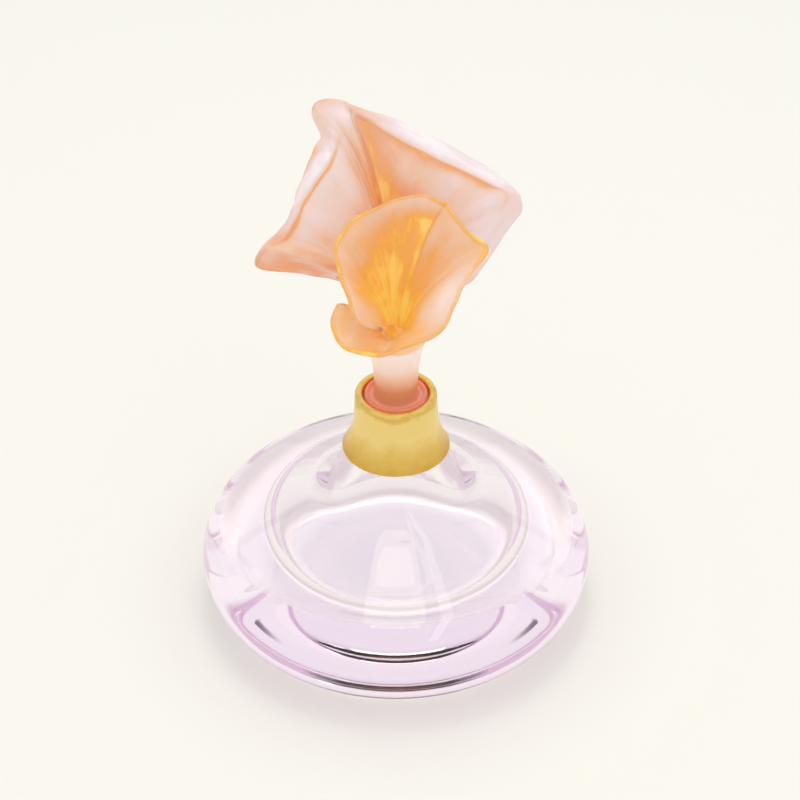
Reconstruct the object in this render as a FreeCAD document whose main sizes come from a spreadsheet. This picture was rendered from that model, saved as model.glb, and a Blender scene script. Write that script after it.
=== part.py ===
import FreeCAD, Part
import math
import os
import Sketcher

# A stoppered crystal perfume flacon, in millimetres.
# Z is up, the origin is the centre of the face it stands on, and the blooms open towards -Y.

doc = FreeCAD.newDocument("flacon")

# ---------------------------------------------------------------- driving sizes
SIZES = [
    ("body_radius", 60.0, "widest radius of the crystal body"),
    ("equator_height", 18.0, "height of the widest circle, and radius of the foot edge"),
    ("shoulder_arc", 16.0, "radius of the shoulder above the widest circle"),
    ("shoulder_slope", 24.0, "slope of the dome, degrees"),
    ("flare_arc", 18.7, "radius of the hollow curve that rises into the neck"),
    ("seat_height", 58.5, "height of the shoulder that carries the collar"),
    ("seat_radius", 16.0, "radius of that shoulder"),
    ("neck_wall", 3.5, "crystal between the bore and the outside of the neck"),
    ("neck_length", 15.5, "neck above its shoulder"),
    ("cavity_floor", 13.0, "thickness of the crystal under the cavity"),
    ("cavity_radius", 38.0, "widest radius of the cavity"),
    ("cavity_corner", 10.5, "radius between the cavity floor and its side"),
    ("cavity_brow", 7.0, "radius between the cavity side and its roof"),
    ("cavity_slope", 26.0, "slope of the cavity roof, degrees"),
    ("throat_arc", 33.0, "radius of the cavity's curve into the bore"),
    ("throat_height", 58.0, "height where the bore begins"),
    ("bore_radius", 7.5, "ground bore of the neck"),
    ("collar_wall", 1.0, "wall of the gilt collar"),
    ("cement_gap", 0.6, "thinnest cement between the neck and the collar"),
    ("cement_setback", 0.5, "how far the cement stops below the neck's lip"),
    ("collar_overhang", 0.2, "how far the collar's foot stands out over its shoulder"),
    ("collar_foot_land", 1.2, "width of the collar's foot"),
    ("collar_bell_arc", 27.0, "radius of the collar's bell"),
    ("collar_bell_rise", 12.0, "height of the bell above the foot"),
    ("collar_rim_width", 1.8, "width of the collar's rounded rim"),
    ("collar_mouth_gap", 1.05, "gap between the stopper's flange and the collar's mouth"),
    ("collar_mouth_depth", 3.1, "straight part of the mouth, below the rounded rim"),
    ("collar_lap", 0.3, "gap between the neck's lip and the collar's inner ledge"),
    ("plug_length", 13.5, "plug below the neck's lip"),
    ("plug_chamfer", 0.6, "chamfer at the plug's lower edge"),
    ("running_gap", 0.05, "radial clearance of the turning and sliding fits"),
    ("sleeve_wall", 0.9, "wall of the polymer sleeve between its ribs"),
    ("sleeve_length", 12.5, "sleeve below the neck's lip"),
    ("rib_depth", 0.3, "how far the sealing ribs stand out of the sleeve"),
    ("sleeve_lip_inset", 0.15, "how far the sleeve's lip is inside the flange's edge"),
    ("sleeve_lip", 0.8, "thickness of the sleeve's lip"),
    ("rib_count", 3, "sealing ribs round the sleeve"),
    ("rib_height", 1.2, "height of one rib"),
    ("rib_pitch", 3.6, "spacing of the ribs"),
    ("socket_depth", 1.8, "how far the plug enters the stopper's flange"),
    ("cement_film", 0.2, "cement round the end of the plug"),
    ("flange_radius", 9.35, "flange at the foot of the stopper"),
    ("flange_height", 2.6, "flange below its bead"),
    ("flange_edge", 0.4, "bevel under the flange"),
    ("bead_radius", 0.65, "rounded bead round the flange"),
    ("dish_depth", 0.35, "hollow inside the bead"),
    ("stem_radius", 6.5, "waist of the stem"),
    ("stem_foot_fillet", 0.9, "fillet between the dish and the stem"),
    ("stem_waist_height", 7.2, "waist above the neck's sleeve"),
    ("stem_length", 25.2, "stem above the sleeve, up to the blooms"),
    ("stem_top_radius", 9.6, "stem where the blooms join it"),
    ("stem_flare_arc", 55.0, "radius of the stem's flare"),
    ("bloom_scale", 1.0, "size of both blooms"),
    ("bloom_wall", 1.8, "thickness of the petals"),
    ("front_tube_radius", 2.5, "inside of the front bloom's tube at its root"),
    ("wrap_gap", 0.8, "gap between the turns of the front bloom's wrap"),
    ("front_tube_offset", 3.6, "front bloom's root in front of the axis"),
    ("rear_tube_radius", 2.6, "middle of the rear bloom's tube wall at its root"),
    ("rear_tube_offset", 5.6, "rear bloom's root behind the axis"),
    ("front_rise", 0.35, "share of its height that a front column rises before it leans"),
    ("front_flare", 0.30, "share of its reach over which a front column nears its margin"),
    ("rear_rise", 0.45, "share of its height that a rear column rises before it leans"),
    ("rear_flare", 0.35, "share of its reach over which a rear column nears its crest"),
]

sheet = doc.addObject("Spreadsheet::Sheet", "Sizes")
for row, (alias, value, note) in enumerate(SIZES, start=1):
    sheet.set("A%d" % row, alias)
    sheet.set("B%d" % row, str(value))
    sheet.set("C%d" % row, note)
    sheet.setAlias("B%d" % row, alias)
doc.recompute()


def size(alias):
    """A plain number from the sheet."""
    return float(sheet.get(alias))


# ---------------------------------------------------------------- sketch helpers
START, END, CENTRE = 1, 2, 3
ROUNDING = 0.001        # keeps a half round's radius just above half of its width
SEWING = 0.001          # gap that sewing closes between two faces
MOST_HOLLOW = 0.9       # a cavity leaves less than this share of the solid it is cut from
ORIGIN = (-1, 1)
HORIZONTAL_AXIS, VERTICAL_AXIS = -1, -2


def value_of(sketch, expression):
    result = sketch.evalExpression(expression)
    return float(getattr(result, "Value", result))


def origin_plane(body, role):
    for feature in body.Origin.OriginFeatures:
        if feature.Role == role:
            return feature
    raise RuntimeError("no plane " + role)


def new_body(name):
    body = doc.addObject("PartDesign::Body", name)
    body.Label = name
    return body


def new_profile(body, name):
    sketch = body.newObject("Sketcher::SketchObject", name)
    sketch.AttachmentSupport = (origin_plane(body, "XZ_Plane"), [""])
    sketch.MapMode = "FlatFace"
    doc.recompute()
    return sketch


def bind(sketch, kind, refs, expression):
    """Adds a dimension whose value is read from the sheet."""
    value = value_of(sketch, expression)
    if kind == "Angle":
        value = math.radians(value)
    index = sketch.addConstraint(Sketcher.Constraint(kind, *refs, value))
    sketch.setExpression("Constraints[%d]" % index, expression)


def hold_point(sketch, ref, x, y):
    """Places one end of an edge at (x, y), each an expression or "0"."""
    if x == "0":
        sketch.addConstraint(Sketcher.Constraint("PointOnObject", *ref, VERTICAL_AXIS))
    else:
        bind(sketch, "DistanceX", ORIGIN + ref, x)
    if y == "0":
        sketch.addConstraint(Sketcher.Constraint("PointOnObject", *ref, HORIZONTAL_AXIS))
    else:
        bind(sketch, "DistanceY", ORIGIN + ref, y)


def arc_through(a, b, radius, side):
    """The short arc between two points; side +1 puts its centre to the left of a-b."""
    middle = (a + b) * 0.5
    half = (b - a).Length / 2
    along = (b - a).normalize()
    left = FreeCAD.Vector(-along.y, along.x, 0)
    centre = middle + left * side * math.sqrt(radius * radius - half * half)
    start, end = (a, b) if side > 0 else (b, a)
    first = math.atan2(start.y - centre.y, start.x - centre.x)
    last = math.atan2(end.y - centre.y, end.x - centre.x)
    circle = Part.Circle(centre, FreeCAD.Vector(0, 0, 1), radius)
    return Part.ArcOfCircle(circle, first, last if last > first else last + 2 * math.pi)


def closed_profile(sketch, outline):
    """Draws a closed outline of corners (x, y) and, where one has it, the arc that follows.

    An arc is (radius, side). Every corner and every radius is tied to the sheet.
    """
    corners = []
    for x, y, *_ in outline:
        corners.append(FreeCAD.Vector(value_of(sketch, x), value_of(sketch, y), 0))
    ends = []
    for index, (x, y, *arc) in enumerate(outline):
        a, b = corners[index], corners[(index + 1) % len(corners)]
        if arc:
            radius, side = arc[0]
            edge = arc_through(a, b, value_of(sketch, radius), side)
            number = sketch.addGeometry(edge, False)
            bind(sketch, "Radius", (number,), radius)
            first, last = (START, END) if side > 0 else (END, START)
        else:
            number = sketch.addGeometry(Part.LineSegment(a, b), False)
            first, last = START, END
        ends.append(((number, first), (number, last)))
    for index, (x, y, *_) in enumerate(outline):
        before = ends[index - 1][1]
        sketch.addConstraint(Sketcher.Constraint("Coincident", *before, *ends[index][0]))
        hold_point(sketch, ends[index][0], x, y)


def bulb_edges(sketch, names, lower):
    """Floor, corner, brow, sloping roof and rising curve of a bulb, each tangent to the next.

    Returns the open ends of the chain: on the axis, and at the top of the rising curve.
    """
    widest, corner, brow, slope, rise = (size(names[key]) for key in
                                         ("widest", "corner", "brow", "slope", "rise"))
    top = FreeCAD.Vector(size(names["top_radius"]), size(names["top_height"]), 0)
    equator = lower + corner
    floor_end = FreeCAD.Vector(widest - corner, lower, 0)
    angle = math.radians(slope)
    normal = FreeCAD.Vector(math.sin(angle), math.cos(angle), 0)
    along = FreeCAD.Vector(-math.cos(angle), math.sin(angle), 0)
    brow_centre = FreeCAD.Vector(widest - brow, equator, 0)
    roof_start = brow_centre + normal * brow
    reach = roof_start + normal * rise - top
    across = reach.dot(along)
    length = -across - math.sqrt(across ** 2 - reach.dot(reach) + rise ** 2)
    roof_end = roof_start + along * length
    rise_centre = roof_end + normal * rise
    up = FreeCAD.Vector(0, 0, 1)

    floor = sketch.addGeometry(Part.LineSegment(FreeCAD.Vector(0, lower, 0), floor_end), False)
    corner_circle = Part.Circle(FreeCAD.Vector(widest - corner, equator, 0), up, corner)
    corner_arc = sketch.addGeometry(Part.ArcOfCircle(corner_circle, -math.pi / 2, 0), False)
    brow_circle = Part.Circle(brow_centre, up, brow)
    brow_arc = sketch.addGeometry(Part.ArcOfCircle(brow_circle, 0, math.pi / 2 - angle), False)
    roof = sketch.addGeometry(Part.LineSegment(roof_start, roof_end), False)
    first = math.atan2(top.y - rise_centre.y, top.x - rise_centre.x)
    last = math.atan2(-normal.y, -normal.x)
    first, last = first % (2 * math.pi), last % (2 * math.pi)
    rise_circle = Part.Circle(rise_centre, up, rise)
    rise_arc = sketch.addGeometry(Part.ArcOfCircle(rise_circle, first, last), False)

    sketch.addConstraint(Sketcher.Constraint("Horizontal", floor))
    for refs in ((floor, END, corner_arc, START), (corner_arc, END, brow_arc, START),
                 (brow_arc, END, roof, START), (roof, END, rise_arc, END)):
        sketch.addConstraint(Sketcher.Constraint("Tangent", *refs))
    sketch.addConstraint(Sketcher.Constraint("Horizontal", corner_arc, CENTRE, corner_arc, END))
    bind(sketch, "Radius", (corner_arc,), "Sizes." + names["corner"])
    bind(sketch, "Radius", (brow_arc,), "Sizes." + names["brow"])
    bind(sketch, "Radius", (rise_arc,), "Sizes." + names["rise"])
    bind(sketch, "DistanceX", ORIGIN + (corner_arc, END), "Sizes." + names["widest"])
    bind(sketch, "Angle", (roof,), "180 deg - Sizes.%s * 1 deg" % names["slope"])
    hold_point(sketch, (rise_arc, START), "Sizes." + names["top_radius"],
               "Sizes." + names["top_height"])
    return (floor, START), (rise_arc, START)


def close_chain(sketch, chain_start, chain_end, corners):
    """Runs straight edges from the chain's end through the corners back to its start."""
    points = [FreeCAD.Vector(value_of(sketch, x), value_of(sketch, y), 0) for x, y in corners]
    at = sketch.getPoint(*chain_end)
    previous = chain_end
    for (x, y), point in zip(corners, points):
        number = sketch.addGeometry(Part.LineSegment(at, point), False)
        sketch.addConstraint(Sketcher.Constraint("Coincident", *previous, number, START))
        hold_point(sketch, (number, END), x, y)
        at, previous = point, (number, END)
    last = sketch.addGeometry(Part.LineSegment(at, sketch.getPoint(*chain_start)), False)
    sketch.addConstraint(Sketcher.Constraint("Coincident", *previous, last, START))
    sketch.addConstraint(Sketcher.Constraint("Coincident", last, END, *chain_start))


def revolve(body, sketch, kind="PartDesign::Revolution", name="Turned"):
    feature = body.newObject(kind, name)
    feature.Profile = sketch
    feature.ReferenceAxis = (sketch, ["V_Axis"])
    feature.Angle = 360
    doc.recompute()
    return feature


def turned_piece(name, outline):
    """A piece turned from one closed outline about the bottle's axis."""
    body = new_body(name)
    sketch = new_profile(body, name + "_profile")
    closed_profile(sketch, outline)
    doc.recompute()
    revolve(body, sketch)
    return body


# ---------------------------------------------------------------- sizes that several pieces share
NECK_TOP = "(Sizes.seat_height + Sizes.neck_length)"
NECK_RADIUS = "(Sizes.bore_radius + Sizes.neck_wall)"
SLEEVE_TOP = "(%s + Sizes.sleeve_lip)" % NECK_TOP
RIB_RADIUS = "(Sizes.bore_radius - Sizes.running_gap)"
SLEEVE_RADIUS = "(%s - Sizes.rib_depth)" % RIB_RADIUS
SLEEVE_BORE = "(%s - Sizes.sleeve_wall)" % SLEEVE_RADIUS
PLUG_RADIUS = "(%s - Sizes.running_gap)" % SLEEVE_BORE
PLUG_TOP = "(%s + Sizes.socket_depth - Sizes.cement_film)" % SLEEVE_TOP
SOCKET_TOP = "(%s + Sizes.socket_depth)" % SLEEVE_TOP
SOCKET_RADIUS = "(%s + Sizes.cement_film)" % PLUG_RADIUS
STEM_TOP = "(%s + Sizes.stem_length)" % SLEEVE_TOP


# ---------------------------------------------------------------- crystal bottle
def bottle_body():
    """Thick crystal disc with a domed air cavity, a shoulder for the collar and a bored neck."""
    body = new_body("bottle_body")
    outside = new_profile(body, "outside_profile")
    ends = bulb_edges(outside, {"widest": "body_radius", "corner": "equator_height",
                                "brow": "shoulder_arc", "slope": "shoulder_slope",
                                "rise": "flare_arc", "top_radius": "seat_radius",
                                "top_height": "seat_height"}, 0)
    outside.addConstraint(Sketcher.Constraint("Coincident", *ends[0], *ORIGIN))
    close_chain(outside, *ends, [(NECK_RADIUS, "Sizes.seat_height"), (NECK_RADIUS, NECK_TOP),
                                 ("0", NECK_TOP)])
    doc.recompute()
    solid = revolve(body, outside, name="Outside").Shape.Volume

    cavity = new_profile(body, "cavity_profile")
    ends = bulb_edges(cavity, {"widest": "cavity_radius", "corner": "cavity_corner",
                               "brow": "cavity_brow", "slope": "cavity_slope",
                               "rise": "throat_arc", "top_radius": "bore_radius",
                               "top_height": "throat_height"}, size("cavity_floor"))
    hold_point(cavity, ends[0], "0", "Sizes.cavity_floor")
    close_chain(cavity, *ends, [("Sizes.bore_radius", NECK_TOP), ("0", NECK_TOP)])
    doc.recompute()
    hollow = revolve(body, cavity, "PartDesign::Groove", "Cavity").Shape.Volume
    if hollow > MOST_HOLLOW * solid:
        raise RuntimeError("the cavity cut nothing")
    return body


# ---------------------------------------------------------------- gilt collar and its cement
COLLAR_BELL = "(Sizes.seat_height + Sizes.collar_bell_rise)"
COLLAR_LEDGE = "(%s + Sizes.collar_lap)" % NECK_TOP
COLLAR_RIM = "(%s + Sizes.collar_mouth_depth)" % COLLAR_LEDGE
COLLAR_INSIDE = "(%s + Sizes.cement_gap)" % NECK_RADIUS
COLLAR_FOOT = "(Sizes.seat_radius + Sizes.collar_overhang)"
COLLAR_FOOT_INSIDE = "(%s - Sizes.collar_foot_land)" % COLLAR_FOOT
COLLAR_MOUTH = "(Sizes.flange_radius + Sizes.collar_mouth_gap)"
COLLAR_INSIDE_ARC = "(Sizes.collar_bell_arc + Sizes.collar_wall)"


def neck_collar():
    """Bell-shaped gilt ferrule with a rounded rim and an inner ledge over the neck's lip."""
    return turned_piece("neck_collar", [
        (COLLAR_FOOT, "Sizes.seat_height", ("Sizes.collar_bell_arc", -1)),
        ("(%s + Sizes.collar_wall)" % COLLAR_INSIDE, COLLAR_BELL),
        ("(%s + Sizes.collar_rim_width)" % COLLAR_MOUTH, COLLAR_RIM,
         ("(Sizes.collar_rim_width / 2 + %g)" % ROUNDING, 1)),
        (COLLAR_MOUTH, COLLAR_RIM),
        (COLLAR_MOUTH, COLLAR_LEDGE),
        (COLLAR_INSIDE, COLLAR_LEDGE),
        (COLLAR_INSIDE, COLLAR_BELL, (COLLAR_INSIDE_ARC, 1)),
        (COLLAR_FOOT_INSIDE, "Sizes.seat_height"),
    ])


def collar_cement():
    """Cement that fills the bell between the neck and the collar."""
    cement_top = "(%s - Sizes.cement_setback)" % NECK_TOP
    return turned_piece("collar_cement", [
        (COLLAR_FOOT_INSIDE, "Sizes.seat_height", (COLLAR_INSIDE_ARC, -1)),
        (COLLAR_INSIDE, COLLAR_BELL),
        (COLLAR_INSIDE, cement_top),
        (NECK_RADIUS, cement_top),
        (NECK_RADIUS, "Sizes.seat_height"),
    ])


# ---------------------------------------------------------------- sleeve, plug and its cement
def seal_sleeve():
    """Ribbed polymer sleeve: the neck grips its ribs, the plug turns inside it."""
    sleeve_foot = "(%s - Sizes.sleeve_length)" % NECK_TOP
    lip_radius = "(Sizes.flange_radius - Sizes.sleeve_lip_inset)"
    outline = [(SLEEVE_BORE, sleeve_foot), (SLEEVE_RADIUS, sleeve_foot)]
    for rib in range(int(size("rib_count"))):
        low = "(%s + Sizes.rib_pitch * %d + Sizes.rib_height)" % (sleeve_foot, rib)
        high = "(%s + Sizes.rib_height)" % low
        middle = "(%s + Sizes.rib_height / 2)" % low
        outline += [(SLEEVE_RADIUS, low), (RIB_RADIUS, middle), (SLEEVE_RADIUS, high)]
    outline += [(SLEEVE_RADIUS, NECK_TOP), (lip_radius, NECK_TOP), (lip_radius, SLEEVE_TOP),
                (SLEEVE_BORE, SLEEVE_TOP)]
    return turned_piece("seal_sleeve", outline)


def stopper_plug():
    """Ground crystal plug, chamfered below, that ends in the flange's socket."""
    foot = "(%s - Sizes.plug_length)" % NECK_TOP
    return turned_piece("stopper_plug", [
        ("0", foot),
        ("(%s - Sizes.plug_chamfer)" % PLUG_RADIUS, foot),
        (PLUG_RADIUS, "(%s + Sizes.plug_chamfer)" % foot),
        (PLUG_RADIUS, PLUG_TOP),
        ("0", PLUG_TOP),
    ])


def plug_cement():
    """Thin cup of cement between the end of the plug and the flange's socket."""
    return turned_piece("plug_cement", [
        (PLUG_RADIUS, SLEEVE_TOP),
        (SOCKET_RADIUS, SLEEVE_TOP),
        (SOCKET_RADIUS, SOCKET_TOP),
        ("0", SOCKET_TOP),
        ("0", PLUG_TOP),
        (PLUG_RADIUS, PLUG_TOP),
    ])


# ---------------------------------------------------------------- stopper stem
def stopper_stem():
    """Cast glass stem: socketed flange with a bead, a shallow dish, a waist and a flared top."""
    bead_foot = "(%s + Sizes.flange_height)" % SLEEVE_TOP
    bead_inside = "(Sizes.flange_radius - 2 * Sizes.bead_radius)"
    dish = "(%s - Sizes.dish_depth)" % bead_foot
    waist = "(%s + Sizes.stem_waist_height)" % SLEEVE_TOP
    return turned_piece("stopper_stem", [
        (SOCKET_RADIUS, SLEEVE_TOP),
        ("(Sizes.flange_radius - Sizes.flange_edge)", SLEEVE_TOP),
        ("Sizes.flange_radius", "(%s + Sizes.flange_edge)" % SLEEVE_TOP),
        ("Sizes.flange_radius", bead_foot, ("(Sizes.bead_radius + %g)" % ROUNDING, 1)),
        (bead_inside, bead_foot),
        (bead_inside, dish),
        ("(Sizes.stem_radius + Sizes.stem_foot_fillet)", dish, ("Sizes.stem_foot_fillet", -1)),
        ("Sizes.stem_radius", "(%s + Sizes.stem_foot_fillet)" % dish),
        ("Sizes.stem_radius", waist, ("Sizes.stem_flare_arc", -1)),
        ("Sizes.stem_top_radius", STEM_TOP),
        ("0", STEM_TOP),
        ("0", SOCKET_TOP),
        (SOCKET_RADIUS, SOCKET_TOP),
    ])


# ---------------------------------------------------------------- blooms
# Each column of a petal starts at an angle round its tube and ends at a point of its margin.
# Points are measured from the centre of the stem's top. The front bloom is one petal rolled
# once and a half round: its inner margin dips into the throat, and its outer one is the lip.
FRONT_COLUMNS = [
    (-95, (-6.0, -13.0, 10.5)),
    (-125, (-11.0, -17.0, 15.5)),
    (-150, (-13.5, -15.0, 22.5)),
    (-170, (-15.5, -11.0, 28.5)),
    (-190, (-16.5, -7.0, 34.0)),
    (-215, (-12.0, -2.5, 39.0)),
    (-240, (-5.5, 0.5, 41.0)),
    (-262, (2.0, 1.5, 44.0)),
    (-285, (8.0, 0.5, 45.5)),
    (-305, (14.0, -2.5, 43.5)),
    (-325, (19.5, -7.0, 39.0)),
    (-345, (25.0, -11.0, 35.5)),
    (-365, (20.5, -18.0, 32.5)),
    (-390, (16.0, -23.0, 25.5)),
    (-415, (13.0, -25.0, 18.5)),
    (-440, (5.5, -26.0, 14.5)),
    (-465, (-4.5, -25.0, 9.0)),
    (-490, (-13.5, -22.0, 9.5)),
    (-512, (-17.5, -18.0, 14.5)),
    (-530, (-16.0, -15.5, 20.5)),
]
# The rear bloom is open in front. Its columns bend over a crest before the rolled margin.
REAR_COLUMNS = [
    (-160, (-19.0, 2.8, 18.0), (-21.5, 3.4, 16.0)),
    (-172, (-25.5, -1.0, 24.5), (-27.5, 0.0, 20.0)),
    (-186, (-34.5, -6.0, 31.5), (-39.0, -5.0, 26.0)),
    (-200, (-31.5, -2.0, 32.5), (-35.5, 2.0, 30.0)),
    (-215, (-26.0, 3.0, 41.0), (-28.0, 8.0, 36.0)),
    (-232, (-19.5, 8.0, 51.0), (-23.5, 13.0, 50.0)),
    (-248, (-14.5, 12.0, 58.5), (-18.0, 19.0, 64.0)),
    (-262, (-9.5, 13.0, 63.0), (-10.0, 19.0, 63.5)),
    (-280, (2.5, 11.5, 56.0), (3.5, 16.5, 58.0)),
    (-300, (15.0, 8.5, 50.5), (16.5, 13.5, 52.5)),
    (-318, (26.0, 4.0, 47.0), (28.5, 9.0, 46.5)),
    (-332, (31.0, 0.5, 45.0), (35.0, 3.0, 40.0)),
    (-350, (24.5, -1.0, 34.5), (30.0, 2.0, 31.5)),
    (-370, (20.0, 0.0, 22.0), (23.0, 3.5, 17.0)),
]
BETWEEN = 3             # columns worked out from one chosen column to the next
WALL_STEPS = 7          # rows between the root of a petal and its margin or crest
ROLL_STEPS = 3          # rows over the crest of a rolled margin


def vector(point):
    return FreeCAD.Vector(*point)


def bezier(points, at):
    """A point of the curve that the control points steer (repeated halfway steps)."""
    while len(points) > 1:
        points = [a + (b - a) * at for a, b in zip(points, points[1:])]
    return points[0]


def eased(values, at):
    """A smooth curve through a list of values, read at any place along the list."""
    last = len(values) - 1
    index = min(int(at), last - 1)
    part = at - index
    a, b = values[index], values[index + 1]
    before = (b - values[index - 1]) * 0.5 if index > 0 else b - a
    after = (values[index + 2] - a) * 0.5 if index + 2 <= last else b - a
    return (a * (1 - part * part * (3 - 2 * part)) + b * (part * part * (3 - 2 * part))
            + before * (part * (1 - part) ** 2) - after * (part * part * (1 - part)))


def petal_grid(columns, root, tube_radius, pitch, rise, flare):
    """Rows of points for each column: up the tube, out over the flare, and over the roll."""
    scale = size("bloom_scale")
    top = FreeCAD.Vector(0, 0, root.z)
    angles = [column[0] for column in columns]
    tips = [top + vector(column[1]) * scale for column in columns]
    edges = [top + vector(column[2]) * scale for column in columns if len(column) > 2]
    grid = []
    for step in range((len(columns) - 1) * BETWEEN + 1):
        at = step / BETWEEN
        angle, tip = eased(angles, at), eased(tips, at)
        turn = math.radians(angle)
        radius = tube_radius + pitch * (angles[0] - angle) / 360
        foot = root + FreeCAD.Vector(math.cos(turn), math.sin(turn), 0) * radius
        lift = FreeCAD.Vector(0, 0, (tip.z - foot.z) * rise)
        out = tip - foot
        lean = FreeCAD.Vector(out.x * flare, out.y * flare, out.z * flare / 3)
        steer = [foot, foot + lift, tip - lean, tip]
        column = [bezier(steer, row / WALL_STEPS) for row in range(WALL_STEPS + 1)]
        if edges:
            edge = eased(edges, at)
            over = tip + lean.normalize() * ((edge - tip).Length / 2)
            for row in range(1, ROLL_STEPS + 1):
                column.append(bezier([tip, over, edge], row / ROLL_STEPS))
        grid.append(column)
    return grid


def even_knots(count):
    """Knots and multiplicities of a clamped cubic with evenly spaced spans."""
    spans = count - 3
    return [4] + [1] * (spans - 1) + [4], [span / spans for span in range(spans + 1)]


def offset_skin(grid, distance):
    """A smooth skin steered by the grid moved along its own normals, flat at the root."""
    moved = []
    last_column, last_row = len(grid) - 1, len(grid[0]) - 1
    for i, column in enumerate(grid):
        line = []
        for j, point in enumerate(column):
            around = grid[min(i + 1, last_column)][j] - grid[max(i - 1, 0)][j]
            upward = column[min(j + 1, last_row)] - column[max(j - 1, 0)]
            normal = around.cross(upward)
            if j == 0:
                normal.z = 0
            line.append(point + normal.normalize() * distance)
        moved.append(line)
    around_mults, around_knots = even_knots(len(moved))
    upward_mults, upward_knots = even_knots(len(moved[0]))
    skin = Part.BSplineSurface()
    skin.buildFromPolesMultsKnots(moved, around_mults, upward_mults, around_knots, upward_knots,
                                  False, False, 3, 3)
    return skin


def surface_edges(surface):
    """The four borders of a surface: root, margin, first side and last side."""
    u0, u1, v0, v1 = surface.bounds()
    return (surface.vIso(v0).toShape(), surface.vIso(v1).toShape(),
            surface.uIso(u0).toShape(), surface.uIso(u1).toShape())


def petal_solid(grid, wall):
    """A closed petal: two smooth skins a wall apart, joined along their four borders."""
    skins = [offset_skin(grid, side) for side in (-wall / 2, wall / 2)]
    faces = [skin.toShape() for skin in skins]
    for inner, outer in zip(surface_edges(skins[0]), surface_edges(skins[1])):
        faces.append(Part.makeRuledSurface(inner, outer))
    shell = Part.makeShell(faces)
    shell.sewShape(SEWING)
    solid = Part.makeSolid(Part.Shell(shell.Faces))
    if solid.Volume < 0:
        solid.reverse()
    return solid


def bloom(name, solid):
    piece = doc.addObject("Part::Feature", name)
    piece.Label = name
    piece.Shape = solid
    return piece


def stem_top():
    return value_of(sheet, STEM_TOP)


def front_bloom():
    root = FreeCAD.Vector(0, -size("front_tube_offset"), stem_top())
    pitch = size("bloom_wall") + size("wrap_gap")
    grid = petal_grid(FRONT_COLUMNS, root, size("front_tube_radius"), pitch,
                      size("front_rise"), size("front_flare"))
    return bloom("front_bloom", petal_solid(grid, size("bloom_wall")))


def rear_bloom():
    root = FreeCAD.Vector(0, size("rear_tube_offset"), stem_top())
    grid = petal_grid(REAR_COLUMNS, root, size("rear_tube_radius"), 0,
                      size("rear_rise"), size("rear_flare"))
    return bloom("rear_bloom", petal_solid(grid, size("bloom_wall")))


# ---------------------------------------------------------------- build, check and write
pieces = [make() for make in (bottle_body, neck_collar, collar_cement, seal_sleeve,
                              stopper_plug, plug_cement, stopper_stem, front_bloom, rear_bloom)]
doc.recompute()

for item in doc.Objects:
    if "Invalid" in item.State or "Error" in item.State:
        raise RuntimeError("%s did not recompute" % item.Name)
for piece in pieces:
    if piece.Shape.isNull() or not piece.Shape.isValid():
        raise RuntimeError("%s has no valid shape" % piece.Label)

os.makedirs("parts", exist_ok=True)
for piece in pieces:
    piece.Shape.exportStep("parts/%s.step" % piece.Label)
    print("%-14s %8.1f mm3" % (piece.Label, piece.Shape.Volume))
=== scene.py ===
import math
import bmesh
import bpy
import numpy as np
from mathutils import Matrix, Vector


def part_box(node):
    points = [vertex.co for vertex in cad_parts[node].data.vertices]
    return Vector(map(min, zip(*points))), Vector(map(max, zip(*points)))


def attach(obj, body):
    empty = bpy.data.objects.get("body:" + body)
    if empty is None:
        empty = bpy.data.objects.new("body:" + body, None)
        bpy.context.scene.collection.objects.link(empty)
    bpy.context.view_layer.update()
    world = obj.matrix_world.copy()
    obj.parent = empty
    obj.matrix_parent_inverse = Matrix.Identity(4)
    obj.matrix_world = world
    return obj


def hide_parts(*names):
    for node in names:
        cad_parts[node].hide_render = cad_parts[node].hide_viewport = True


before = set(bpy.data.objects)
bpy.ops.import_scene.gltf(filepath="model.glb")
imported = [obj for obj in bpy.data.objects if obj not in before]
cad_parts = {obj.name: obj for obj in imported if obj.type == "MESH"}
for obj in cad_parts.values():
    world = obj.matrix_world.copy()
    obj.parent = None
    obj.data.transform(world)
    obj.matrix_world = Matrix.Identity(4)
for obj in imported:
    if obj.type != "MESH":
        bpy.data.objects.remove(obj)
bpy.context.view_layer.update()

scene = bpy.context.scene
mm = 0.001


# A Value is a node's output: plain expressions on it add Math nodes.
class Value:
    def __init__(self, owner, socket):
        self.owner, self.socket = owner, socket

    def __add__(self, other):
        return self.owner.maths("ADD", self, other)

    def __radd__(self, other):
        return self.owner.maths("ADD", other, self)

    def __sub__(self, other):
        return self.owner.maths("SUBTRACT", self, other)

    def __rsub__(self, other):
        return self.owner.maths("SUBTRACT", other, self)

    def __mul__(self, other):
        return self.owner.maths("MULTIPLY", self, other)

    def __rmul__(self, other):
        return self.owner.maths("MULTIPLY", other, self)

    def __truediv__(self, other):
        return self.owner.maths("DIVIDE", self, other)

    def __rtruediv__(self, other):
        return self.owner.maths("DIVIDE", other, self)


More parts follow.
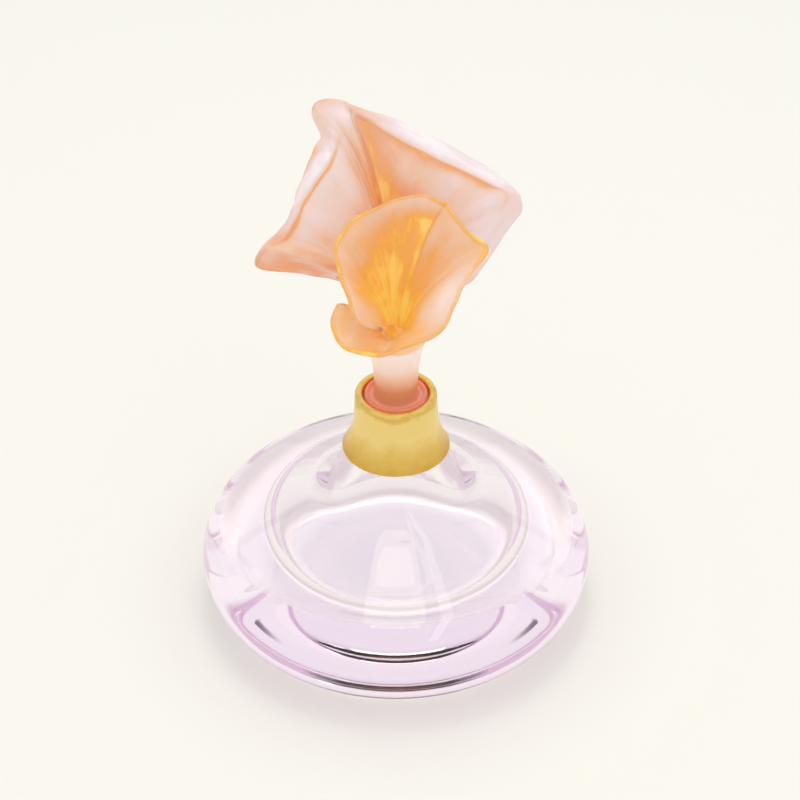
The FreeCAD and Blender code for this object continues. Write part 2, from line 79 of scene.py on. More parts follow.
# A node tree: one call that makes any node, and the patterns that are built from it.
class Nodes:
    def __init__(self, tree):
        self.tree = tree

    def feed(self, socket, value):
        if isinstance(value, Value):
            self.tree.links.new(value.socket, socket)
        elif isinstance(value, (tuple, list)) and len(value) == 3 and socket.type == "RGBA":
            socket.default_value = (*value, 1)
        else:
            socket.default_value = value

    def node(self, kind, settings=None, inputs=None, out=0):
        made = self.tree.nodes.new("ShaderNode" + kind)
        for key, value in (settings or {}).items():
            if key == "stops":
                ramp = made.color_ramp
                while len(ramp.elements) < len(value):
                    ramp.elements.new(0.5)
                for element, (place, colour) in zip(ramp.elements, value):
                    element.position, element.color = place, (*colour, 1)
            else:
                setattr(made, key, value)
        for key, value in (inputs or {}).items():
            self.feed(made.inputs[key], value)
        return Value(self, made.outputs[out])

    def maths(self, operation, a, b=0.0):
        return self.node("Math", {"operation": operation}, {0: a, 1: b})

    def mix(self, share, a, b):
        # 6, 7 and 2 are the colour sockets
        return self.node("Mix", {"data_type": "RGBA"}, {0: share, 6: a, 7: b}, out=2)

    def ramp(self, value, *stops):
        return self.node("ValToRGB", {"stops": stops}, {0: value})

    def place(self):
        return self.node("TexCoord", out=3)         # Object coordinates

    def along(self, vector, axis):
        return self.node("SeparateXYZ", inputs={0: vector}, out=axis)

    def length(self, vector):
        return self.node("VectorMath", {"operation": "LENGTH"}, {0: vector}, out=1)

    def level(self, value, low, high):
        # 0 below low, 1 above high, smooth between
        return self.node("MapRange", {"interpolation_type": "SMOOTHSTEP"},
                         {"Value": value, "From Min": low, "From Max": high})

    def noise(self, size, detail=3.0, roughness=0.5, stretch=(1, 1, 1), where=None):
        # size is the width of one patch in metres, and stretch squeezes it along each axis
        at = self.node("Mapping", inputs={0: where or self.place(), 3: stretch})
        return self.node("TexNoise", inputs={"Vector": at, "Scale": 1 / size, "Detail": detail,
                                             "Roughness": roughness})

    def attribute(self, name, out=2):
        # 2 is a number, 1 a vector
        return self.node("Attribute", {"attribute_name": name}, out=out)


# A material with one shader.
class Finish(Nodes):
    def __init__(self, name, **shader):
        self.material = bpy.data.materials.new(name)
        self.material.use_nodes = True
        super().__init__(self.material.node_tree)
        self.shader = self.tree.nodes["Principled BSDF"]
        self.output = self.tree.nodes["Material Output"]
        self.set(**shader)

    def set(self, **shader):
        for key, value in shader.items():
            self.feed(self.shader.inputs[key.replace("_", " ")], value)

    def bump(self, height, depth, strength=1.0):
        self.set(Normal=self.node("Bump", inputs={"Strength": strength, "Distance": depth,
                                                  "Height": height}))


# A mesh from points and faces, with its doubles merged and its faces turned outwards.
# Each layer is an attribute of the points: a number or a vector.
def meshObject(name, points, faces, smoothAngle=None, **layers):
    mesh = bpy.data.meshes.new(name)
    mesh.from_pydata(points.tolist(), [], faces.tolist())
    for layer, values in layers.items():
        kind, key = ("FLOAT", "value") if values.ndim == 1 else ("FLOAT_VECTOR", "vector")
        mesh.attributes.new(layer, kind, "POINT").data.foreach_set(key, values.ravel())
    shape = bmesh.new()
    shape.from_mesh(mesh)
    bmesh.ops.remove_doubles(shape, verts=shape.verts, dist=1e-6)
    bmesh.ops.recalc_face_normals(shape, faces=shape.faces)
    shape.to_mesh(mesh)
    shape.free()
    mesh.polygons.foreach_set("use_smooth", np.ones(len(mesh.polygons), bool))
    if smoothAngle:
        mesh.set_sharp_from_angle(angle=math.radians(smoothAngle))
    piece = bpy.data.objects.new(name, mesh)
    scene.collection.objects.link(piece)
    return piece


# Quads of a grid of points, row after row; wrap joins the last row to the first.
def gridFaces(rows, columns, wrap=False):
    a = np.arange(rows * columns).reshape(rows, columns)
    b = np.roll(a, -1, axis=0) if wrap else a[1:]
    a = a if wrap else a[:-1]
    return np.stack([a[:, :-1], b[:, :-1], b[:, 1:], a[:, 1:]], -1).reshape(-1, 4)


# Each point (r, z) of the profile is carried round the axis: (r cos t, r sin t, z).
def lathe(name, profile, turns=256, smoothAngle=35):
    t = np.linspace(0, 2 * np.pi, turns, endpoint=False)[:, None]
    r, z = np.asarray(profile).T
    points = np.stack([r * np.cos(t), r * np.sin(t), z + 0 * t], -1)
    return meshObject(name, points.reshape(-1, 3), gridFaces(turns, len(r), wrap=True), smoothAngle)


# Points of a circle between two angles in degrees: centre + radius (cos t, sin t).
def arc(centre, radius, first, last, count):
    t = np.radians(np.linspace(first, last, count))
    return np.stack([centre[0] + radius * np.cos(t), centre[1] + radius * np.sin(t)], -1)


# Corners joined by straight lines.
def line(*corners):
    return np.array(corners, float)


# The arc of a given radius from one point to another, with its centre to the right of the way.
def arcBetween(start, end, radius, count):
    half = (end - start) / 2
    across = np.array([half[1], -half[0]]) / np.hypot(*half)
    centre = start + half + across * math.sqrt(radius ** 2 - half @ half)
    first, last = [math.degrees(math.atan2(*(p - centre)[::-1])) % 360 for p in (start, end)]
    return arc(centre, radius, first, last, count)


# Floor, corner arc, brow arc, sloping line and a hollow arc that ends at top, all tangent.
# The hollow arc's centre lies on a line parallel to the slope, one radius from top.
# More points would take the bottle past 200,000 triangles.
def bulb(widest, lower, corner, brow, slope, rise, top):
    angle = math.radians(slope)
    normal = np.array([math.sin(angle), math.cos(angle)])
    along = np.array([-math.cos(angle), math.sin(angle)])
    equator = lower + corner
    slopeStart = np.array([widest - brow, equator]) + normal * brow
    reach = slopeStart + normal * rise - top
    across = reach @ along
    slopeEnd = slopeStart + along * (-across - math.sqrt(across ** 2 - reach @ reach + rise ** 2))
    centre = slopeEnd + normal * rise
    ending = math.degrees(math.atan2(top[1] - centre[1], top[0] - centre[0])) % 360
    return np.concatenate([
        line((0, lower)),
        np.linspace((0, lower), (widest - corner, lower), 12)[1:-1],
        arc((widest - corner, equator), corner, -90, 0, 48),
        arc((widest - brow, equator), brow, 0, 90 - slope, 40)[1:],
        np.linspace(slopeStart, slopeEnd, 8)[1:-1],
        arc(centre, rise, 270 - slope, ending, 40)])


# The crystal bottle: thick walls round a domed cavity, with the tint partly at the surface and
# partly in the depth of the glass.
bottleSizes = {
    "equator": 18 * mm, "brow": 16 * mm, "slope": 24, "rise": 18.7 * mm,
    "seatRadius": 16 * mm, "seatHeight": 58.5 * mm, "neckRadius": 11 * mm, "neckEdge": 0.4 * mm,
    "boreRadius": 7.5 * mm, "boreEdge": 0.3 * mm,
    "cavityRadius": 38 * mm, "cavityFloor": 13 * mm, "cavityCorner": 10.5 * mm,
    "cavityBrow": 7 * mm, "cavitySlope": 26, "throatRise": 33 * mm, "throatHeight": 58 * mm,
    "surfaceTint": (0.98, 0.965, 0.985), "tint": (0.85, 0.60, 0.84), "tintPerMetre": 4.0,
}


# One closed skin: up the outside, over the neck's lip, down the bore and round the cavity.
def makeBottle(s):
    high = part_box("bottle_body")[1]
    outside = bulb(high[0], 0, s["equator"], s["brow"], s["slope"], s["rise"],
                   np.array([s["seatRadius"], s["seatHeight"]]))
    neck = line((s["neckRadius"], s["seatHeight"]), (s["neckRadius"], high[2] - s["neckEdge"]),
                (s["neckRadius"] - s["neckEdge"], high[2]), (s["boreRadius"] + s["boreEdge"], high[2]),
                (s["boreRadius"], high[2] - s["boreEdge"]))
    cavity = bulb(s["cavityRadius"], s["cavityFloor"], s["cavityCorner"], s["cavityBrow"],
                  s["cavitySlope"], s["throatRise"], np.array([s["boreRadius"], s["throatHeight"]]))
    piece = lathe("crystal_bottle", np.concatenate([outside, neck, cavity[::-1]]), turns=320)
    piece.data.materials.append(crystalFinish(s).material)
    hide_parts("bottle_body")
    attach(piece, "bottle")
    return piece


# A light tint at the surface, and absorption that deepens it with every millimetre of glass.
def crystalFinish(s):
    f = Finish("lilac crystal", Base_Color=s["surfaceTint"], Roughness=0.0, IOR=1.52,
               Transmission_Weight=1.0)
    f.feed(f.output.inputs["Volume"],
           f.node("VolumeAbsorption", inputs={"Color": s["tint"], "Density": s["tintPerMetre"]}))
    return f


# The gilt collar: brushed round the bell, with painted shade darker towards the foot and along the rim,
# and a painted reflection of the stem, deep orange, inside the mouth.
collarSizes = {
    "bellArc": 27 * mm, "bellRise": 12 * mm, "bellRadius": 12.6 * mm, "rimRadius": 12.2 * mm,
    "mouthRadius": 9.9 * mm, "ledge": 74.3 * mm, "wall": 1.0 * mm, "footLand": 1.2 * mm,
    "footEdge": (0.25 * mm, 0.03 * mm, 0.15 * mm),
    # The height ramp's dark foot and dark band just below the rim are painted shade on the gilt.
    "gilt": [(0.0, (0.62, 0.37, 0.07)), (0.22, (0.74, 0.49, 0.12)), (0.5, (0.87, 0.66, 0.25)),
             (0.84, (0.86, 0.65, 0.23)), (0.95, (0.70, 0.45, 0.10)), (1.0, (0.80, 0.56, 0.16))],
    # The mouth's deep orange is a painted reflection of the coral stem on the collar's inner wall.
    "mouth": (0.86, 0.36, 0.05), "mouthFade": 0.7 * mm,
}


# The bell is one hollow arc from the foot, the rim a half round, and the wall comes down inside.
def makeCollar(s):
    low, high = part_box("neck_collar")
    foot, bell = np.array([high[0], low[2]]), np.array([s["bellRadius"], low[2] + s["bellRise"]])
    rim, mouth = s["rimRadius"], s["mouthRadius"]
    inside = s["bellRadius"] - s["wall"]
    inset, bevel, rise = s["footEdge"]
    profile = np.concatenate([
        line((foot[0] - s["footLand"], foot[1]), (foot[0] - inset, foot[1]),
             (foot[0] - bevel, foot[1] + rise)),
        arcBetween(foot, bell, s["bellArc"], 48)[1:],
        arc(((rim + mouth) / 2, high[2] - (rim - mouth) / 2), (rim - mouth) / 2, 0, 180, 24),
        line((mouth, s["ledge"]), (inside, s["ledge"]), (inside, bell[1]),
             (foot[0] - s["footLand"], foot[1]))])
    piece = lathe("gilt_collar", profile)
    piece.data.materials.append(giltFinish(s).material)
    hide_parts("neck_collar")
    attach(piece, "bottle")
    return piece


# The gilt goes by the height from foot to rim, clouded, and brushed along fine rings; its darker foot and
# rim band are painted shade. Within the mouth's radius a painted orange reflection of the stem takes over.
def giltFinish(s):
    low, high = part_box("neck_collar")
    f = Finish("satin gilt", Metallic=1.0)
    place = f.place()
    cloud = f.noise(5 * mm, 5.0, 0.6)
    brush = f.noise(1.2 * mm, 5.0, 0.6, stretch=(1, 1, 7))
    up = (f.along(place, 2) - low[2]) / (high[2] - low[2]) + (cloud - 0.5) * 0.35 + (brush - 0.5) * 0.12
    out = f.length(f.node("VectorMath", {"operation": "MULTIPLY"}, {0: place, 1: (1, 1, 0)}))
    # Inside the mouth's radius the colour is a painted orange reflection of the stem.
    f.set(Base_Color=f.mix(f.level(out, s["mouthRadius"], s["mouthRadius"] + s["mouthFade"]),
                           s["mouth"], f.ramp(up, *s["gilt"])),
          Roughness=0.22 + 0.16 * brush)
    f.bump(brush + 0.5 * f.noise(0.5 * mm, 3.0), 0.03 * mm)
    return f


# Each column of a petal is a turn round its tube, the point of its crest in mm from the stem's
# top, for a rolled petal the point of its margin too, and its tints from root to margin:
# 0 white, 2 lilac, 4 pink, 5 peach, 7 coral, 8 orange and 9 yellow, on the palettes below.
frontColumns = [
    (-60, (-1.0, -6.5, 7.0), "9988787"),
    (-95, (-6.0, -13.0, 10.0), "9987667"),
    (-125, (-11.0, -17.0, 15.5), "9865437"),
    (-150, (-13.5, -15.0, 22.5), "9876437"),
    (-170, (-15.5, -11.0, 28.5), "9986558"),
    (-190, (-16.5, -7.0, 34.0), "9986558"),
    (-215, (-12.0, -2.5, 39.0), "9986558"),
    (-240, (-5.5, 0.5, 41.0), "9987547"),
    (-262, (2.0, 1.5, 44.0), "9988537"),
    (-285, (8.0, 0.5, 45.5), "9888537"),
    (-300, (12.5, -1.8, 44.2), "9999647"),
    (-307, (14.5, -2.8, 43.2), "9975557"),
    (-325, (19.5, -7.0, 39.0), "9876558"),
    (-345, (25.0, -11.0, 35.5), "9765568"),
    # The near-white tints of these two columns are partly the glass's own white and partly a painted
    # highlight.
    (-365, (20.5, -18.0, 32.5), "9752226"),
    (-390, (16.0, -23.0, 25.5), "9731126"),
    (-415, (13.0, -25.0, 18.5), "9854457"),
    (-440, (5.5, -26.0, 14.5), "9766567"),
    (-465, (-4.5, -25.0, 9.0), "9766678"),
    (-490, (-13.5, -22.0, 9.5), "9766668"),
    (-512, (-17.5, -18.0, 14.5), "9766657"),
    (-530, (-16.0, -15.5, 20.5), "9877667"),
]
rearColumns = [
    (-150, (-15.5, 4.0, 16.0), (-16.0, 4.6, 14.5), "9976555554"),
    (-160, (-19.0, 2.8, 18.5), (-19.5, 3.4, 16.5), "9976545555"),
    (-172, (-25.5, -1.0, 24.5), (-27.0, 0.0, 20.5), "9876656776"),
    (-186, (-34.5, -6.0, 31.5), (-39.0, -5.0, 26.0), "9876566667"),
    (-200, (-31.5, -2.0, 32.5), (-35.5, 2.0, 29.5), "9865457666"),
    (-208, (-28.5, 1.0, 35.5), (-31.5, 4.5, 29.5), "9865458326"),
    (-215, (-26.0, 3.0, 40.5), (-28.5, 8.0, 34.0), "9854448207"),
    (-222, (-23.0, 5.5, 45.0), (-27.5, 10.5, 39.0), "9854438108"),
    (-232, (-18.5, 8.0, 51.0), (-25.0, 13.0, 46.5), "9864438108"),
    (-240, (-16.5, 10.0, 54.5), (-22.5, 14.5, 52.0), "9865437216"),
    (-244, (-16.0, 11.5, 56.5), (-20.5, 16.0, 55.5), "9866546435"),
    (-248, (-15.0, 12.0, 58.0), (-23.0, 18.5, 60.5), "9876545435"),
    (-252, (-14.0, 12.3, 59.0), (-21.5, 20.5, 63.5), "9887655426"),
    (-257, (-12.0, 12.6, 60.5), (-15.5, 20.5, 64.0), "9876554335"),
    (-262, (-10.0, 13.0, 63.0), (-11.0, 18.5, 63.5), "9988777666"),
    (-280, (2.5, 11.5, 56.0), (3.5, 16.5, 58.0), "9876678311"),
    (-300, (15.0, 8.5, 50.5), (16.5, 13.5, 52.5), "9875578311"),
    (-318, (26.0, 4.0, 47.0), (28.5, 9.0, 46.5), "9864478311"),
    (-332, (31.0, 0.5, 45.0), (35.0, 3.0, 40.0), "8763235334"),
    (-350, (24.5, -1.0, 34.5), (30.0, 2.0, 31.5), "8653222233"),
    (-370, (20.0, 0.0, 22.5), (22.5, 2.0, 18.0), "8765433334"),
    (-380, (18.0, 1.5, 18.0), (18.5, 3.2, 13.0), "8765444444"),
]
tintPlaces = [0, 0.3, 0.55, 0.75, 0.88, 0.96, 1, 1.15, 1.5, 2]    # the wall ends at 1, the roll at 2
pinkGlass = [(0.0, (0.88, 0.86, 0.91)), (0.22, (0.81, 0.71, 0.76)), (0.44, (0.81, 0.66, 0.62)),
             (0.60, (0.81, 0.60, 0.48)), (0.78, (0.80, 0.42, 0.24)), (0.88, (0.83, 0.41, 0.13)),
             (1.0, (0.88, 0.64, 0.22))]
amberGlass = [(0.0, (0.90, 0.86, 0.86)), (0.22, (0.86, 0.75, 0.72)), (0.44, (0.85, 0.70, 0.58)),
              (0.60, (0.85, 0.64, 0.43)), (0.78, (0.86, 0.54, 0.22)), (0.88, (0.88, 0.55, 0.08)),
              (1.0, (0.93, 0.82, 0.26))]


# A smooth curve through the rows of values, read at places along the list: on each stretch
# a cubic whose slope at a row is half the step between its two neighbours.
def through(values, at):
    values = np.asarray(values, float)
    slopes = np.gradient(values, axis=0)
    i = np.minimum(at.astype(int), len(values) - 2)
    p = (at - i)[:, None]
    a, b, m, n = values[i], values[i + 1], slopes[i], slopes[i + 1]
    return a + (b - a) * p * p * (3 - 2 * p) + m * p * (1 - p) ** 2 - n * p * p * (1 - p)


# The curve that the control points steer: repeated steps between neighbours.
def bend(points, at):
    while len(points) > 1:
        points = [a + (b - a) * at for a, b in zip(points, points[1:])]
    return points[0]


# The middle of a petal's wall. Each column rises from its turn of the tube's root, leans out
# to its crest on one steered curve, and rolls over to its margin on a second.
def petalMiddle(columns, root, s):
    at = np.linspace(0, len(columns) - 1, s["around"])
    angle = np.radians(through([[c[0]] for c in columns], at)[:, 0])
    tip = through([c[1] for c in columns], at) * mm + (0, 0, root[2])
    radius = s["tubeRadius"] + s["pitch"] * (angle[0] - angle) / (2 * np.pi)
    foot = np.array(root) + np.stack([radius * np.cos(angle), radius * np.sin(angle), 0 * angle], -1)
    lift = np.zeros_like(foot)
    lift[:, 2] = (tip - foot)[:, 2] * s["rise"]
    lean = (tip - foot) * s["flare"] * (1, 1, 1 / 3)         # more outwards than upwards
    v = np.linspace(0, 1, s["up"])
    grid = bend([foot[:, None], (foot + lift)[:, None], (tip - lean)[:, None], tip[:, None]],
                v[None, :, None])
    if s["roll"]:
        edge = through([c[2] for c in columns], at) * mm + (0, 0, root[2])
        over = tip + lean / np.linalg.norm(lean, axis=1)[:, None] * np.linalg.norm(
            edge - tip, axis=1)[:, None] / 2
        w = np.linspace(0, 1, s["roll"] + 1)[1:]
        grid = np.concatenate([grid, bend([tip[:, None], over[:, None], edge[:, None]],
                                          w[None, :, None])], 1)
        v = np.concatenate([v, 1 + w])
    return grid, at, v


# The digits of the columns, smooth from column to column and straight from place to place.
def tintsOf(columns, at, v):
    across = through([[int(digit) for digit in c[-1]] for c in columns], at) / 9
    i = np.clip(np.searchsorted(tintPlaces, v, "right") - 1, 0, across.shape[1] - 2)
    low, high = np.take(tintPlaces, i), np.take(tintPlaces, i + 1)
    share = (v - low) / (high - low)
    return across[:, i] * (1 - share) + across[:, i + 1] * share


# The direction across a grid: the cross product of its steps both ways, made one long.
def normalsOf(grid):
    n = np.cross(np.gradient(grid, axis=0), np.gradient(grid, axis=1))
    return n / (np.linalg.norm(n, axis=2)[..., None] + 1e-12)


# Long soft waves that run up the petal and twist a little, less narrow bell-shaped creases. Both
# grow with the square of the height and fade by 0.6 over the roll.
def relief(at, v, s):
    at, v = at[:, None], v[None, :]
    height = sum(depth * np.sin(2 * np.pi * (at / length + turn * v) + start)
                 for length, turn, start, depth in s["waves"])
    for place, lean, width, depth in s["creases"]:
        height = height - depth * np.exp(-((at - place - lean * v) / width) ** 2)
    return height * np.clip(v, 0, 1) ** 2 * (1 - 0.6 * np.clip(v - 1, 0, 1))


# Both skins of a wall stand off from the middle and are joined round the margin by a half round.
# The wall thins towards the crest and runs out to nothing at the two sides, as a quarter circle does.
def petalShell(name, columns, root, s):
    middle, at, v = petalMiddle(columns, root, s)
    middle = middle + normalsOf(middle) * relief(at, v, s)[..., None]
    n = normalsOf(middle)
    outward = middle[:, -1] - middle[:, -2]
    outward /= np.linalg.norm(outward, axis=1)[:, None]
    side = np.linalg.norm(np.diff(middle, axis=0), axis=2)
    reach = np.concatenate([np.zeros((1, middle.shape[1])), np.cumsum(side, 0)])
    nearest = np.minimum(reach, reach[-1] - reach)
    wall = s["wall"] * (1 - s["thinning"] * np.clip(v, 0, 1))
    half = wall / 2 * np.sqrt(1 - (1 - np.clip(nearest / (wall / 2), 0, 1)) ** 2)
    turn = np.radians(np.linspace(90, -90, s["rimSteps"] + 2))[1:-1]
    rim = [middle[:, -1] + half[:, -1:] * (n[:, -1] * math.sin(t) + outward * math.cos(t)) for t in turn]

    def closed(front, margin, back):
        return np.concatenate([front, np.stack(margin, 1), back[:, ::-1], front[:, :1]], 1)

    skin = closed(middle + n * half[..., None], rim, middle - n * half[..., None])
    tint = tintsOf(columns, at, v)
    tint = closed(tint, [tint[:, -1]] * s["rimSteps"], tint)
    flow = np.stack(np.broadcast_arrays(at[:, None] * 0.01, v[None] * 0.05, 0), -1)
    flow = closed(flow, [flow[:, -1]] * s["rimSteps"], flow + (0, 0, 0.1))
    rows, across = skin.shape[:2]
    return meshObject(name, skin.reshape(-1, 3), gridFaces(rows, across),
                      tint=tint.ravel(), flow=flow.reshape(-1, 3))


# One bloom: its petal stands on the stem's top, rootY in front of the axis or behind it.
def makeBloom(name, node, slot, columns, s):
    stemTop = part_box("stopper_stem")[1][2]
    piece = petalShell(name, columns, (0, s["rootY"], stemTop), s)
    piece.data.materials.append(castGlass(slot.replace("_", " "), s).material)
    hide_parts(node)
    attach(piece, "stopper")
    return piece


# Cast glass: streaks that follow the petal, and soft clouds, shift the tint of the columns. The same colour
# is given out again as a painted glow.
def castGlass(name, s):
    f = Finish(name, IOR=1.5, Transmission_Weight=s["clear"], Coat_Weight=0.35, Coat_Roughness=0.25)
    flow = f.attribute("flow", out=1)
    streak = f.noise(6 * mm, 6.0, 0.62, stretch=(1, 0.35, 1), where=flow)
    cloud = f.noise(9 * mm, 2.0, 0.5)
    tint = f.attribute("tint") + (streak - 0.5) * s["streaks"] + (cloud - 0.5) * s["clouds"]
    colour = f.ramp(tint, *s["palette"])
    # Emission of the petal's own colour is a painted glow: the glass gives out light though it is no lamp.
    f.set(Base_Color=colour, Emission_Color=colour, Emission_Strength=s["paintedGlow"],
          Roughness=0.30 + 0.14 * f.noise(3 * mm, 3.0))
    f.bump(streak + 0.3 * f.noise(0.8 * mm, 3.0), 0.35 * mm, 0.6)
    return f


# Waves: length in columns, turns up the petal, start, depth. Creases: column, lean, width, depth.
frontSizes = {"rootY": -3.6 * mm, "tubeRadius": 1.3 * mm, "pitch": 2.6 * mm, "rise": 0.35, "flare": 0.30,
              "around": 420, "up": 100, "roll": 0, "rimSteps": 7, "wall": 1.8 * mm, "thinning": 0.35,
              "waves": [(3.1, 0.35, 0.4, 0.35 * mm), (1.3, -0.2, 1.0, 0.16 * mm)],
              "creases": [(10.6, 0.0, 0.35, 1.1 * mm), (14.6, 0.3, 0.35, 0.7 * mm)],
              "palette": amberGlass, "clear": 0.6, "paintedGlow": 0.07, "streaks": 0.55, "clouds": 0.45}
rearSizes = {"rootY": 5.6 * mm, "tubeRadius": 2.6 * mm, "pitch": 0.0, "rise": 0.45, "flare": 0.35,
             "around": 380, "up": 90, "roll": 26, "rimSteps": 7, "wall": 1.8 * mm, "thinning": 0.35,
             "waves": [(2.6, 0.3, 0.0, 0.40 * mm), (1.1, -0.25, 2.0, 0.18 * mm)],
             "creases": [(12.6, 0.6, 0.35, 1.3 * mm), (13.9, 0.2, 0.30, 0.9 * mm),
                         (18.4, 0.0, 0.30, 0.9 * mm)],
             "palette": pinkGlass, "clear": 0.6, "paintedGlow": 0.08, "streaks": 0.6, "clouds": 0.45}


# The stem: a pink bead, coral in the dish, peach up the middle and orange on the dome that the
# blooms stand on.
stemSizes = {
    "socketRadius": 6.4 * mm, "socketTop": 1.8 * mm, "edge": 0.4 * mm, "beadHeight": 2.6 * mm,
    "bead": 0.65 * mm, "dish": 0.35 * mm, "waist": 6.5 * mm, "fillet": 0.9 * mm,
    "waistHeight": 7.2 * mm, "flareArc": 55 * mm, "topRadius": 9.6 * mm,
    "flangeRadius": 9.35 * mm, "dome": 2.5 * mm,
    "colours": [(0.0, (0.86, 0.46, 0.36)), (0.07, (0.86, 0.42, 0.30)), (0.11, (0.66, 0.25, 0.10)),
                (0.26, (0.64, 0.25, 0.10)), (0.40, (0.86, 0.58, 0.40)), (0.54, (0.92, 0.80, 0.72)),
                (0.80, (0.90, 0.82, 0.82)), (0.84, (0.84, 0.52, 0.16))],
    # Painted glow: the stem gives out this light, strongest at the bead and dish, though it is no lamp.
    "paintedGlow": [(0.05, (1.0, 0.52, 0.42)), (0.30, (1.0, 0.42, 0.16)), (0.50, (0.55, 0.50, 0.47))],
}


# Socket, flange with its bead and dish, a hollow arc from the waist to the top, and an oval dome.
def makeStem(s):
    low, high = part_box("stopper_stem")
    base, top = low[2], high[2]
    flange = s["flangeRadius"]
    dish = base + s["beadHeight"] - s["dish"]
    cap = np.radians(np.linspace(0, 90, 16))[1:, None]
    profile = np.concatenate([
        line((0, base + s["socketTop"]), (s["socketRadius"], base + s["socketTop"]),
             (s["socketRadius"], base), (flange - s["edge"], base), (flange, base + s["edge"])),
        arc((flange - s["bead"], base + s["beadHeight"]), s["bead"], 0, 180, 16),
        line((flange - 2 * s["bead"], dish)),
        arc((s["waist"] + s["fillet"], dish + s["fillet"]), s["fillet"], 270, 180, 12),
        arcBetween(np.array([s["waist"], base + s["waistHeight"]]), np.array([s["topRadius"], top]),
                   s["flareArc"], 48),
        np.concatenate([s["topRadius"] * np.cos(cap), top + s["dome"] * np.sin(cap)], 1)])
    piece = lathe("cast_stem", profile, turns=192)
    piece.data.materials.append(stemFinish(s, base, top + s["dome"]).material)
    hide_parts("stopper_stem")
    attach(piece, "stopper")
    return piece


# Its colours and its painted glow go by the height from base to dome, a little clouded.
def stemFinish(s, base, top):
    f = Finish("frosted stem", IOR=1.5, Transmission_Weight=0.5, Coat_Weight=0.35, Coat_Roughness=0.2)
    up = (f.along(f.place(), 2) - base) / (top - base) + (f.noise(5 * mm) - 0.5) * 0.05
    f.set(Base_Color=f.ramp(up, *s["colours"]), Emission_Color=f.ramp(up, *s["paintedGlow"]),
          Emission_Strength=0.13, Roughness=0.25 + 0.2 * f.noise(1.5 * mm))
    f.bump(f.noise(1.0 * mm, 4.0), 0.15 * mm, 0.5)
    return f


# The small pieces keep their CAD mesh. Soft patches mix the two colours of a pair.
smallColours = {
    "cement": [(0.3, (0.75, 0.72, 0.66)), (0.7, (0.86, 0.84, 0.79))],
    "polymer": [(0.3, (0.80, 0.44, 0.20)), (0.7, (0.88, 0.54, 0.28))],
    "ground": (0.97, 0.94, 0.98),
}


# Chalky cement, soft amber polymer, and crystal ground dull, each with grain of its own size.
def finishSmallPieces(s):
    cement = Finish("white cement", Roughness=0.9)
    cement.set(Base_Color=cement.ramp(cement.noise(1.2 * mm), *s["cement"]))
    cement.bump(cement.noise(0.4 * mm), 0.05 * mm)
    polymer = Finish("soft polymer", IOR=1.5, Transmission_Weight=0.6, Roughness=0.35)
    polymer.set(Base_Color=polymer.ramp(polymer.noise(3 * mm), *s["polymer"]))
    ground = Finish("ground crystal", IOR=1.52, Transmission_Weight=1.0, Base_Color=s["ground"])
    ground.set(Roughness=0.25 + 0.15 * ground.noise(0.6 * mm))
    ground.bump(ground.noise(0.15 * mm), 0.01 * mm)
    for node, finish in (("collar_cement", cement), ("plug_cement", cement), ("seal_sleeve", polymer),
                         ("stopper_plug", ground)):
        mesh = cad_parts[node].data
        mesh.materials.clear()
        mesh.materials.append(finish.material)


# A pale floor with painted light under the bottle, a little brighter there, in an even room. The room has a
# bright wall low down, a dimmer sky above it and two dark flags high at the back, which draw strokes in the
# crystal.
studio = {
    "floorReach": 12, "floorDrop": 0.3 * mm, "floor": (0.865, 0.86, 0.83), "floorSpeck": 0.995,
    # Under the bottle the floor is painted lighter and cooler, standing in for the light that comes through
    # the glass.
    "paintedLightUnderBottle": (0.92, 0.925, 0.94), "underReach": (40 * mm, 52 * mm),
    "wall": (1.05, 1.04, 1.00), "wallTop": 0.15, "sky": (0.96, 0.96, 0.945), "skyFrom": 0.6,
    "flag": (0.20, 0.12, 0.20), "flagHeights": (0.53, 0.575), "flagSide": 0.34, "flagFades": (0.015, 0.1),
    # name, place, width and length, turn in degrees, colour, watts
    "lamps": [("main panel", (-0.008, 0.05, 1.0), (0.317, 0.8), (0, 0, 0), (1.0, 0.93, 0.72), 1.5),
              ("side strip", (0.20, -0.1, 0.72), (0.05, 0.97), (34, 0, 0), (1.0, 0.95, 0.85), 0.25)],
    "elevation": 37.0, "distance": 650 * mm, "aim": (1.2 * mm, 0, 74.9 * mm), "lens": 98.6,
}


# A flat square whose tint lightens smoothly within underReach of the axis: painted light under the bottle.
def makeFloor(s):
    corners = np.array([(-1, -1, 0), (1, -1, 0), (1, 1, 0), (-1, 1, 0)])
    floor = meshObject("floor", s["floorReach"] * corners - (0, 0, s["floorDrop"]), np.array([(0, 1, 2, 3)]))
    paper = Finish("pale floor", Roughness=0.9, Specular_IOR_Level=0.0)
    bare = paper.mix(paper.noise(40 * mm), s["floor"], tuple(s["floorSpeck"] * c for c in s["floor"]))
    paper.set(Base_Color=paper.mix(paper.level(paper.length(paper.place()), *s["underReach"]),
                                   s["paintedLightUnderBottle"], bare))
    floor.data.materials.append(paper.material)


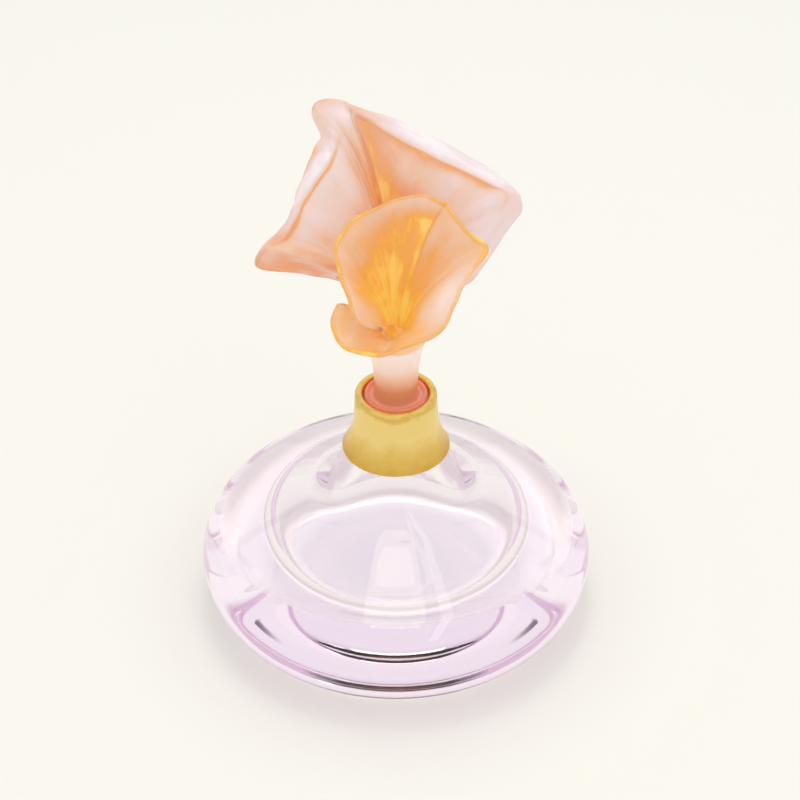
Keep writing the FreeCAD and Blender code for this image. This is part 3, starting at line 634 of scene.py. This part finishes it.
# The world's colour goes by the height of the direction looked in, with the flags mixed over it.
def makeRoom(s):
    world = bpy.data.worlds.new("studio")
    scene.world = world
    world.use_nodes = True
    room = Nodes(world.node_tree)
    across, back, height = [room.along(room.node("TexCoord"), axis) for axis in range(3)]
    side = room.maths("ABSOLUTE", across)
    low, high = s["flagHeights"]
    fine, wide = s["flagFades"]
    flags = (room.level(height, low, low + fine) * (1 - room.level(height, high, high + fine))
             * room.level(side, s["flagSide"], s["flagSide"] + wide) * room.level(back, 0.0, wide))
    light = room.ramp(height, (s["wallTop"], s["wall"]), (s["skyFrom"], s["sky"]))
    room.feed(room.tree.nodes["Background"].inputs[0], room.mix(flags, light, s["flag"]))


# A rectangular lamp that faces down, then turns about the world's axes.
def softBox(name, where, across, turned, colour, watts):
    lamp = bpy.data.lights.new(name, "AREA")
    lamp.shape = "RECTANGLE"
    lamp.size, lamp.size_y = across
    lamp.energy = watts
    lamp.color = colour
    holder = bpy.data.objects.new(name, lamp)
    holder.location = where
    holder.rotation_euler = [math.radians(angle) for angle in turned]
    scene.collection.objects.link(holder)


# The camera stands in front, at its distance from the aim and raised by the elevation.
def makeCamera(s):
    tilt = math.radians(s["elevation"])
    camera = bpy.data.objects.new("camera", bpy.data.cameras.new("camera"))
    camera.data.lens = s["lens"]
    camera.data.sensor_width = 36
    camera.location = Vector(s["aim"]) + s["distance"] * Vector((0, -math.cos(tilt), math.sin(tilt)))
    camera.rotation_euler = (math.pi / 2 - tilt, 0, 0)
    scene.collection.objects.link(camera)
    scene.camera = camera


# Floor, room, lamps and camera, and how light is carried through the glass.
def makeStudio(s):
    makeFloor(s)
    makeRoom(s)
    for lamp in s["lamps"]:
        softBox(*lamp)
    makeCamera(s)
    scene.view_settings.view_transform = "Standard"
    scene.cycles.max_bounces = 40             # thick clear glass needs long paths
    scene.cycles.transmission_bounces = 40
    scene.cycles.glossy_bounces = 40
    scene.cycles.diffuse_bounces = 8
    scene.cycles.blur_glossy = 0.0


makeBottle(bottleSizes)
print("crystal bottle made")
makeCollar(collarSizes)
print("gilt collar made")
makeStem(stemSizes)
makeBloom("amber_bloom", "front_bloom", "amber_cast_glass", frontColumns, frontSizes)
makeBloom("pink_bloom", "rear_bloom", "pink_cast_glass", rearColumns, rearSizes)
print("stopper made")
finishSmallPieces(smallColours)
print("small pieces finished")
makeStudio(studio)
print("studio made")
